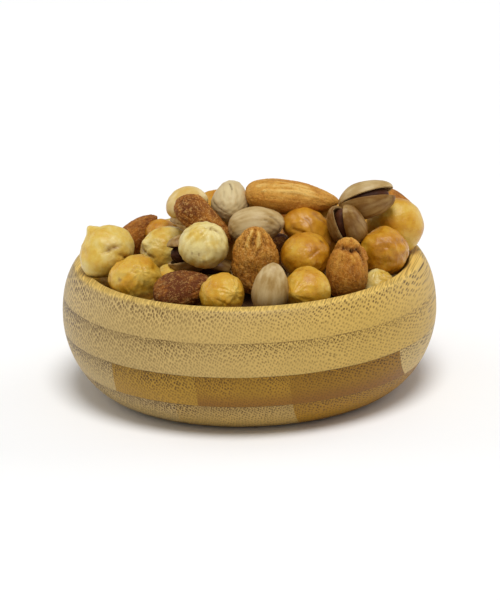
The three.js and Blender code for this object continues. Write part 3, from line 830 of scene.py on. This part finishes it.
# Outward directions of a grid: the cross product of its steps along and round, made one long.
def outward(points):
    normal = np.cross(np.gradient(points, axis=0), np.roll(points, -1, 1) - np.roll(points, 1, 1))
    normal /= np.maximum(np.linalg.norm(normal, axis=-1, keepdims=True), 1e-9)
    normal[0], normal[-1] = normal[1].mean(0), normal[-2].mean(0)
    return normal * np.sign(((points - points.mean((0, 1))) * normal).sum())


def nutGrid(rows, around):
    return np.meshgrid(np.linspace(0, math.pi, rows + 1), around, indexing="ij")


# The point where the line of sight at x, y meets the nut's ellipsoid, in the nut's own axes:
# the nearer root of |(offset + s toward) / half|^2 = 1.
def seenPoint(nut, x, y):
    turn = turnMatrix(nut["turn"])
    level, rise, back = sightAxes
    half = np.array(nut["size"]) / 2
    offset, toward = (level * x + rise * y) @ turn / half, back @ turn / half
    a, b, c = toward @ toward, offset @ toward, offset @ offset - 1
    return (offset + toward * (math.sqrt(max(b * b - a * c, 0)) - b) / a) * half


# Depth and stain of a nut's marks, where the stain is partly real and partly painted shade in
# grooves and on shaded sides: each fades as exp(-(d / width)^2), where d is the distance to the
# line between its ends, pushed out to the skin.
markEdge = {"waver": (0.12, 1.6), "stainWidth": 1.1}


def markFields(nut, points, seed):
    depth, stainAndShade = 0 * points[..., 0], 0 * points[..., 0]
    reach = np.linalg.norm(points, axis=-1, keepdims=True)
    for x0, y0, x1, y1, deep, width, dark in nut.get("marks", ()):
        start, end = seenPoint(nut, x0, y0), seenPoint(nut, x1, y1)
        span = end - start
        share = np.clip((points - start) @ span / (span @ span), 0, 1)[..., None]
        nearest = start + share * span
        nearest = nearest * reach / np.linalg.norm(nearest, axis=-1, keepdims=True)
        distance = np.linalg.norm(points - nearest, axis=-1) + width * layer(points, markEdge["waver"], seed)
        depth += deep * bell(distance, width)
        stainAndShade += dark * bell(distance, width * markEdge["stainWidth"])
    return depth, stainAndShade


# Each relief gives a height in mm, a change of roast and how hollow the skin is, which the skins
# darken, partly as real colour and partly as painted shade in creases, furrows and seams. A pair is a
# layer's strength and wavelength. Gates are the two ends of a field between which a line comes up.

# Lobes, dimples, curved creases where a slow field crosses zero, and folds that fan from the tip.
hazelnutSkin = {
    "lobes": (0.2, 12), "dimples": (0.075, 3.6), "pits": (0.025, 1.9), "grain": (0.014, 1.1),
    "crease": 0.35, "creaseWidth": 0.13, "creasePath": ((1, 10), (0.25, 3)),
    "creaseShare": 0.8, "creaseGate": (0.1, 1.2), "gateWave": 13,
    "folds": 0.1, "foldCount": 9, "foldWaver": (1.5, 6), "foldTilt": 0.6, "foldReach": 0.4,
    "furrow": 0.17, "furrowWaver": (0.8, 9), "furrowHollow": 0.25,
    "roast": ((0.07, 8), (0.03, 2.6)), "creaseRoast": 0.12, "furrowRoast": 0.1,
    "tipRoast": 0.12, "tipWidth": 0.35,
}


def hazelnutRelief(tilt, around, points, nut, seed):
    s = hazelnutSkin
    line = layer(points, s["creasePath"][0], seed) + layer(points, s["creasePath"][1], seed + 5)
    crease = bell(line, s["creaseWidth"]) * nut.get("crease", s["creaseShare"])
    crease *= smoothStep(*s["creaseGate"], rolling(points, s["gateWave"], seed + 1))
    fan = np.cos(s["foldCount"] * around + layer(points, s["foldWaver"], seed + 2))
    fan *= bell(tilt - s["foldTilt"], s["foldReach"])
    furrow = np.cos(nut.get("furrows", 0) * around + layer(points, s["furrowWaver"], seed + 9)) ** 2
    furrow *= np.sin(tilt) * ("furrows" in nut)
    height = layer(points, s["lobes"], seed + 3) + layer(points, s["dimples"], seed + 4)
    height += layer(points, s["pits"], seed + 10) + s["folds"] * nut.get("folds", 1) * fan
    height -= s["crease"] * crease + s["furrow"] * furrow
    height = height * nut["rough"] + layer(points, s["grain"], seed + 6)
    roast = layer(points, s["roast"][0], seed + 7) + layer(points, s["roast"][1], seed + 8)
    roast += s["creaseRoast"] * crease + s["furrowRoast"] * furrow - s["tipRoast"] * bell(tilt, s["tipWidth"])
    return height, roast, crease + s["furrowHollow"] * furrow


# Furrows that run lengthwise where a stretched field crosses zero, and a rough grain.
almondSkin = {
    "stretch": (0.16, 1, 1), "path": ((1, 3.6), (0.25, 2.4)), "furrow": 0.16, "furrowWidth": 0.3,
    "smallWave": 1.5, "smallShare": 0.4, "lobes": (0.2, 9), "grain": (0.055, 0.8), "ends": (0, 0.25),
    "roast": ((0.06, 8), (0.04, 1.6)), "hollow": 0.6, "smallHollow": 0.25,
}


def almondRelief(tilt, around, points, nut, seed):
    s = almondSkin
    stretched = points * s["stretch"]
    line = layer(stretched, s["path"][0], seed) + layer(points, s["path"][1], seed + 1)
    furrow = bell(line, s["furrowWidth"])
    small = 1 - np.abs(rolling(stretched, s["smallWave"], seed + 2))
    height = layer(points, s["lobes"], seed + 3) - s["furrow"] * (furrow + s["smallShare"] * small)
    height = (height + layer(points, s["grain"], seed + 4)) * nut["rough"]
    height *= smoothStep(*s["ends"], np.sin(tilt))
    roast = layer(points, s["roast"][0], seed + 5) + layer(points, s["roast"][1], seed + 6)
    hollow = np.clip(furrow * s["hollow"] + s["smallHollow"] * small, 0, 1)
    return height, roast, hollow * min(nut["rough"], 1)


# Broad lobes, and long creases.
cashewSkin = {
    "lobes": (0.16, 9), "dimples": (0.05, 3), "stretch": (0.5, 1, 1), "creaseWave": 9, "crease": 0.25,
    "creaseWidth": 0.12, "creaseGate": (0.2, 1), "gateWave": 12, "roast": ((0.08, 7), (0.03, 2.4)),
    "creaseRoast": 0.1,
}


def cashewRelief(tilt, around, points, nut, seed):
    s = cashewSkin
    crease = bell(rolling(points * s["stretch"], s["creaseWave"], seed), s["creaseWidth"])
    crease *= smoothStep(*s["creaseGate"], rolling(points, s["gateWave"], seed + 1))
    height = layer(points, s["lobes"], seed + 2) + layer(points, s["dimples"], seed + 3)
    height -= s["crease"] * crease
    roast = layer(points, s["roast"][0], seed + 4) + layer(points, s["roast"][1], seed + 5)
    return height * nut["rough"], roast + s["creaseRoast"] * crease, crease


# Shallow lines that run lengthwise and fade at the waist, with a seam where the halves meet.
shellSkin = {
    "stretch": (0.1, 1, 1), "lineWave": 1.5, "lines": 0.05, "waist": 0.45, "lobes": (0.1, 9), "seam": 0.1,
    "seamWidth": 0.2, "seamHollow": 0.4, "ends": (0, 0.2), "roast": (0.08, 8), "lineRoast": 0.04,
}


def shellRelief(tilt, around, points, nut, seed):
    s = shellSkin
    lines = rolling(points * s["stretch"], s["lineWave"], seed)
    fade = s["waist"] + (1 - s["waist"]) * np.abs(np.cos(tilt))
    seam = bell(points[..., 2], s["seamWidth"]) * (nut["kind"] == "pistachio")
    height = s["lines"] * lines * fade * nut["rough"] + layer(points, s["lobes"], seed + 1) - s["seam"] * seam
    roast = layer(points, s["roast"], seed + 2) + s["lineRoast"] * lines
    return height * smoothStep(*s["ends"], np.sin(tilt)), roast, s["seamHollow"] * seam


# Grids are columns round by rows along, coarser on the nuts that the rules put in behind.
kinds = {
    "hazelnut": {"pile": "hazelnuts", "shape": hazelnutShape, "relief": hazelnutRelief,
                 "fine": (88, 60), "behind": (44, 30)},
    "almond": {"pile": "almonds", "shape": almondShape, "relief": almondRelief,
               "fine": (120, 84), "behind": (64, 44)},
    "cashew": {"pile": "cashews", "shape": cashewShape, "relief": cashewRelief,
               "fine": (84, 90), "behind": (48, 52)},
    "pistachio": {"pile": "pistachioShells", "shape": pistachioShape, "relief": shellRelief,
                  "fine": (100, 62), "behind": (48, 32)},
    "kernel": {"pile": "pistachioKernels", "shape": pistachioShape, "relief": hazelnutRelief,
               "fine": (64, 44), "behind": (40, 28)},
}
# the kernel's roast is set dark: partly the kernel's own skin, partly painted shade inside the gape
split = {"wall": 0.85, "thinTip": 0.12, "plainEdge": 0.12,
         "kernelShare": 0.8, "kernelRoast": 0.85, "kernelRough": 0.5}
textureSpread = 40  # moves each nut to its own part of the textures


def textured(points, seed):
    return points + np.random.default_rng(seed).uniform(-textureSpread, textureSpread, 3)


def addNut(piles, nut, seed):
    row = kinds[nut["kind"]]
    columns, rows = row["behind" if nut.get("behind") else "fine"]
    tilt, around = nutGrid(rows, np.arange(columns) * 2 * math.pi / columns)
    smooth = row["shape"](tilt, around, nut["size"], nut)
    height, roast, hollow = row["relief"](tilt, around, smooth, nut, seed)
    dent, stainAndShade = markFields(nut, smooth, seed + 20)
    points = smooth + outward(smooth) * (height - dent)[..., None]
    matrix = turnMatrix(nut["turn"])
    piles[row["pile"]].add(points, lambda p: p @ matrix.T + nut["at"], nutPlace=textured(smooth, seed),
                           roast=nut["roast"] + roast, hollow=hollow + stainAndShade, grain=0 * roast + nut["rough"],
                           inside=0 * roast)


# Half a pistachio's shell: the outside arc, then the inside arc back, a wall's thickness further in.
# It is swung about the stem end by half the gape.
def addHalfShell(piles, nut, side, seed):
    columns, rows = kinds["pistachio"]["behind" if nut.get("behind") else "fine"]
    tilt, around = nutGrid(rows, side * np.linspace(0, math.pi, columns // 2))
    wall = split["wall"] * (1 - bell(np.sin(tilt), split["thinTip"]))
    outer = pistachioShape(tilt, around, nut["size"], nut)
    inner = pistachioShape(tilt, around, [s - 2 * wall for s in nut["size"]], nut)
    height, roast, hollow = shellRelief(tilt, around, outer, nut, seed)
    steep = outer / np.array(nut["size"]) ** 2
    steep /= np.maximum(np.linalg.norm(steep, axis=-1, keepdims=True), 1e-9)
    height = height * smoothStep(0, split["plainEdge"], np.abs(np.sin(around)))
    grid = np.concatenate([outer + steep * height[..., None], inner[:, ::-1]], 1)
    stem, angle = nut["size"][0] / 2, -side * nut["gape"] * deg / 2
    x, z = grid[..., 0] + stem, grid[..., 2]
    swung = np.stack([x * math.cos(angle) + z * math.sin(angle) - stem, grid[..., 1],
                      z * math.cos(angle) - x * math.sin(angle)], -1)
    none = 0 * roast
    matrix = turnMatrix(nut["turn"])
    # the other half's roast may be set darker as painted shade where that half faces down
    halfRoastAndShade = nut["roast"] if side > 0 else nut.get("otherRoast", nut["roast"])
    piles["pistachioShells"].add(swung, lambda p: p @ matrix.T + nut["at"], nutPlace=textured(grid, seed),
                                 roast=halfRoastAndShade + np.concatenate([roast, none], 1),
                                 hollow=np.concatenate([hollow, none], 1), grain=0 * grid[..., 0] + 1,
                                 inside=np.concatenate([none, none + 1], 1))


allNuts = shownNuts + fillHeap()
print(len(allNuts), "nuts placed")


# The skins.

# Stops are a roast and its colour. poreSize and lineSpacing are in mm, and bump is in mm too.
skinLooks = {
    "hazelnuts": {
        "stops": ((0, (230, 210, 138)), (0.25, (220, 186, 84)), (0.5, (210, 158, 42)), (0.75, (192, 128, 18)),
                  (1, (142, 84, 10))),
        "fleck": (124, 72, 10), "poreSize": 0.7, "fleckShare": 0.34, "fleckTone": 0.22, "mottle": 0.34,
        "bump": 0.2, "roughness": 0.3, "specular": 0.4},
    "cashews": {
        "stops": ((0, (230, 206, 148)), (0.3, (214, 180, 102)), (0.6, (210, 150, 36)), (1, (160, 92, 16))),
        "fleck": (150, 96, 34), "poreSize": 0.9, "fleckShare": 0.2, "fleckTone": 0.22, "mottle": 0.24,
        "bump": 0.12, "roughness": 0.34, "specular": 0.35},
    "pistachioKernels": {
        "stops": ((0, (130, 112, 50)), (0.4, (112, 70, 36)), (0.75, (84, 46, 24)), (1, (54, 28, 14))),
        "fleck": (50, 24, 12), "poreSize": 0.5, "fleckShare": 0.4, "fleckTone": 0.22, "mottle": 0.1,
        "bump": 0.1, "roughness": 0.5, "specular": 0.15},
    "almonds": {
        "stops": ((0, (234, 188, 102)), (0.3, (212, 152, 60)), (0.55, (188, 119, 34)), (0.8, (148, 86, 22)),
                  (1, (104, 50, 8))),
        "fleck": (88, 44, 12), "poreSize": 0.42, "fleckShare": 0.6, "mottle": 0.24,
        "grain": (236, 186, 106), "lightFrom": (0.76, 0.9), "lightGrain": 0.4, "darkFrom": (0.72, 0.58),
        "darkGrain": 0.5, "lineSpacing": 1.0, "lineTone": 0.35, "lineHeight": 0.7,
        "bump": 0.38, "roughness": 0.5, "specular": 0.18},
    "pistachioShells": {
        "stops": ((0, (214, 194, 146)), (0.3, (200, 174, 124)), (0.6, (170, 137, 80)), (1, (122, 82, 28))),
        "fleck": (88, 58, 26), "poreSize": 0.5, "fleckShare": 0.3, "fleckTone": 0.2, "mottle": 0.16,
        "inside": (204, 170, 116), "lineSpacing": 1.0, "lineTone": 0.55, "poreHeight": 0.4,
        "bump": 0.12, "roughness": 0.44, "specular": 0.25},
}
skinTones = {"blotchScale": 0.3, "blotch": 0.26, "mottleScale": 0.85, "poreMiddle": 0.75, "poreTone": 0.1,
             "lineStretch": 0.1, "lightStain": 0.35, "darkStain": 0.48}


# A ramp from pale to dark along roast, with pores, darkened toward the dark fleck colour where the skin
# is hollow or marked: partly real stain, partly painted shade in creases, furrows, seams and grooves. A
# stain below nothing is light.
def startSkin(name):
    look, s = skinLooks[name], skinTones
    material, tree, shader = newMaterial(name, look["specular"], look["roughness"])
    place = attribute(tree, "nutPlace", "Vector")
    pores = {"Place": place, "Size": look["poreSize"], "Fleck Share": look["fleckShare"]}
    pores = useGroup(tree, poreGroup, pores)
    tone = plus(
        tree, attribute(tree, "roast"),
        about(tree, noise(tree, place, s["blotchScale"], 3, 0.6), 0.5, s["blotch"]),
        about(tree, noise(tree, place, s["mottleScale"], 3, 0.6), 0.5, look["mottle"]),
        about(tree, pores["Height"], s["poreMiddle"], s["poreTone"]),
    )
    lines = None
    if "lineTone" in look:
        spacing = {"Place": place, "Spacing": look["lineSpacing"], "Stretch": s["lineStretch"]}
        lines = useGroup(tree, lineGroup, spacing)["Lines"]
        tone = plus(tree, tone, about(tree, lines, 0.5, look["lineTone"]))
    stainAndShade = attribute(tree, "hollow")
    tone = plus(tree, tone, times(tree, calc(tree, "MINIMUM", stainAndShade, 0.0), s["lightStain"]))
    colour = ramp(tree, tone, [(at, paint(*shade)) for at, shade in look["stops"]])
    # painted shade and real stain: hollow and marked skin darkens toward the dark fleck colour
    darkenedByStainAndShade = calc(tree, "MULTIPLY", stainAndShade, s["darkStain"], clamp=True)
    colour = mixColour(tree, darkenedByStainAndShade, colour, paint(*look["fleck"]))
    return material, tree, shader, pores, lines, colour


def finishSkin(tree, shader, look, colour, height):
    tree.links.new(colour, shader.inputs["Base Color"])
    bump = addNode(tree, "ShaderNodeBump", {"Height": height, "Distance": look["bump"] * mm, "Strength": 1.0})
    tree.links.new(bump.outputs[0], shader.inputs["Normal"])


# Roasted and peeled: smooth, with a few darker flecks.
def makeRoastedSkin(name):
    look = skinLooks[name]
    material, tree, shader, pores, _, colour = startSkin(name)
    colour = mixColour(tree, times(tree, pores["Flecks"], look["fleckTone"]), colour, paint(*look["fleck"]))
    finishSkin(tree, shader, look, colour, pores["Height"])
    return material


# A brown almond skin: light and dark grains, and lines that run the length of the nut.
def makeAlmondSkin(name):
    look = skinLooks[name]
    material, tree, shader, pores, lines, colour = startSkin(name)
    grain = attribute(tree, "grain")
    light = times(tree, grain, look["lightGrain"], mapRange(tree, pores["Height"], *look["lightFrom"]))
    colour = mixColour(tree, light, colour, paint(*look["grain"]))
    dark = times(tree, grain, look["darkGrain"], mapRange(tree, pores["Height"], *look["darkFrom"]))
    colour = mixColour(tree, dark, colour, paint(*look["fleck"]))
    height = calc(tree, "MULTIPLY_ADD", lines, look["lineHeight"], pores["Height"])
    finishSkin(tree, shader, look, colour, height)
    return material


# A bony shell with fine lengthwise lines, paler inside.
def makeShellSkin(name):
    look = skinLooks[name]
    material, tree, shader, pores, lines, colour = startSkin(name)
    colour = mixColour(tree, attribute(tree, "inside"), colour, paint(*look["inside"]))
    colour = mixColour(tree, times(tree, pores["Flecks"], look["fleckTone"]), colour, paint(*look["fleck"]))
    height = calc(tree, "MULTIPLY_ADD", pores["Height"], look["poreHeight"], lines)
    finishSkin(tree, shader, look, colour, height)
    return material


pieces = {
    "hazelnuts": {"slot": "hazelnut", "skin": makeRoastedSkin},
    "almonds": {"slot": "almond", "skin": makeAlmondSkin},
    "cashews": {"slot": "cashew", "skin": makeRoastedSkin},
    "pistachioShells": {"slot": "pistachio_shell", "skin": makeShellSkin},
    "pistachioKernels": {"slot": "pistachio_kernel", "skin": makeRoastedSkin},
}


def makeNuts():
    piles = {name: Pile() for name in pieces}
    for index, nut in enumerate(allNuts):
        seed = 100 * index
        if nut["kind"] != "openPistachio":
            addNut(piles, nut, seed)
            continue
        size = [s * split["kernelShare"] for s in nut["size"]]
        look = {"roast": split["kernelRoast"], "rough": split["kernelRough"]}
        addNut(piles, {**nut, "kind": "kernel", "size": size, **look}, seed)
        for side in (1, -1):
            addHalfShell(piles, nut, side, seed + side)
    for name, pile in piles.items():
        piece = pile.mesh(name, pieces[name]["skin"](name))
        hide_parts("nut_heap")


makeNuts()


# Under the nuts a dome with bumps of their size, painted dark brown: painted shade in the gaps between the
# nuts, where little light gets down.
core = {
    "top": 38,
    "edge": 26,
    "bump": 1.6,
    "wave": 13,
    "gap": 0.4,
    "seed": 5,
    "rows": 60,
    "segments": 160,
    "bumpsFrom": (4, 12),  # rows up from the wall between which the bumps come up
    "shades": ((0.3, (40, 22, 8)), (0.7, (78, 48, 20))),
    "shadeScale": 260.0,  # per metre
    "specular": 0.2,
    "roughness": 0.8,
}


def makeCoreSkin():
    material, tree, shader = newMaterial("heapCore", core["specular"], core["roughness"])
    shade = noise(tree, objectPlace(tree), core["shadeScale"], 3, 0.6)
    colour = ramp(tree, shade, [(at, paint(*colour)) for at, colour in core["shades"]])
    tree.links.new(colour, shader.inputs["Base Color"])
    return material


def makeCore():
    radius, height = bowlOutline()
    wall = slice(-bowl["rows"]["floor"], -1)  # the bowl's inside, from the belly down to the floor
    wallRadius = radius[wall][::-1] - core["gap"]
    wallHeight = height[wall][::-1] + core["gap"]
    domeRadius = (bowl["mouthRadius"] - core["gap"]) * (1 - np.linspace(0, 1, core["rows"]))
    domeHeight = fall(core["top"], core["edge"], domeRadius)
    floor = bowl["floorThickness"] + core["gap"]
    grid = turnedGrid(np.concatenate([[0], wallRadius, domeRadius]),
                      np.concatenate([[floor], wallHeight, domeHeight]), core["segments"])
    start, full = (len(wallRadius) + row for row in core["bumpsFrom"])
    onDome = smoothStep(start, full, np.arange(grid.shape[0])[:, None])
    grid[..., 2] += core["bump"] * rolling(grid, core["wave"], core["seed"]) * onDome
    grid[0], grid[-1] = grid[0].mean(0), grid[-1].mean(0)
    pile = Pile()
    pile.add(grid)
    piece = pile.mesh("heapCore", makeCoreSkin())
    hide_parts("nut_heap")


makeCore()
print("heap made")


# The table and the light.

studio = {
    "table": (249, 249, 249),
    "tableDim": 0.985,  # what is left of the table's tone in its darker clouds
    "cloudScale": 6.0,  # per metre
    "tableRadius": 3000,
    "tableThickness": 5,
    "tableSegments": 64,
    "specular": 0.1,
    "roughness": 0.8,
    "world": (1, 1, 1, 1),
    "worldStrength": 0.32,
    "suns": (  # spread and elevation in degrees, and the side it comes from: 0 front, 90 right
        {"strength": 2.2, "spread": 28, "elevation": 70, "side": 8},
        {"strength": 0.7, "spread": 50, "elevation": 20, "side": 118},
        {"strength": 0.6, "spread": 50, "elevation": 20, "side": -118},
    ),
}


def makeStudio():
    under = -float(studio["tableThickness"])
    pile = Pile()
    pile.add(turnedGrid(np.array([0, 1, 1, 0]) * float(studio["tableRadius"]), np.array([0, 0, under, under]),
                        studio["tableSegments"]))
    material, tree, shader = newMaterial("table", studio["specular"], studio["roughness"])
    white = paint(*studio["table"])
    dimmed = tuple(studio["tableDim"] * c for c in white[:3]) + (1,)
    clouds = noise(tree, objectPlace(tree), studio["cloudScale"], 2)
    tree.links.new(ramp(tree, clouds, [(0.3, dimmed), (0.7, white)]), shader.inputs["Base Color"])
    pile.mesh("table", material, rides=False)
    world = bpy.data.worlds.new("studio")
    world.use_nodes = True
    background = world.node_tree.nodes["Background"]
    background.inputs["Color"].default_value = studio["world"]
    background.inputs["Strength"].default_value = studio["worldStrength"]
    bpy.context.scene.world = world
    for light in studio["suns"]:
        sun = bpy.data.lights.new("sun", "SUN")
        sun.energy = light["strength"]
        sun.angle = light["spread"] * deg
        made = bpy.data.objects.new("sun", sun)
        made.rotation_euler = ((90 - light["elevation"]) * deg, 0, light["side"] * deg)
        bpy.context.scene.collection.objects.link(made)
    bpy.context.scene.view_settings.view_transform = "Standard"


makeStudio()
print("studio made")
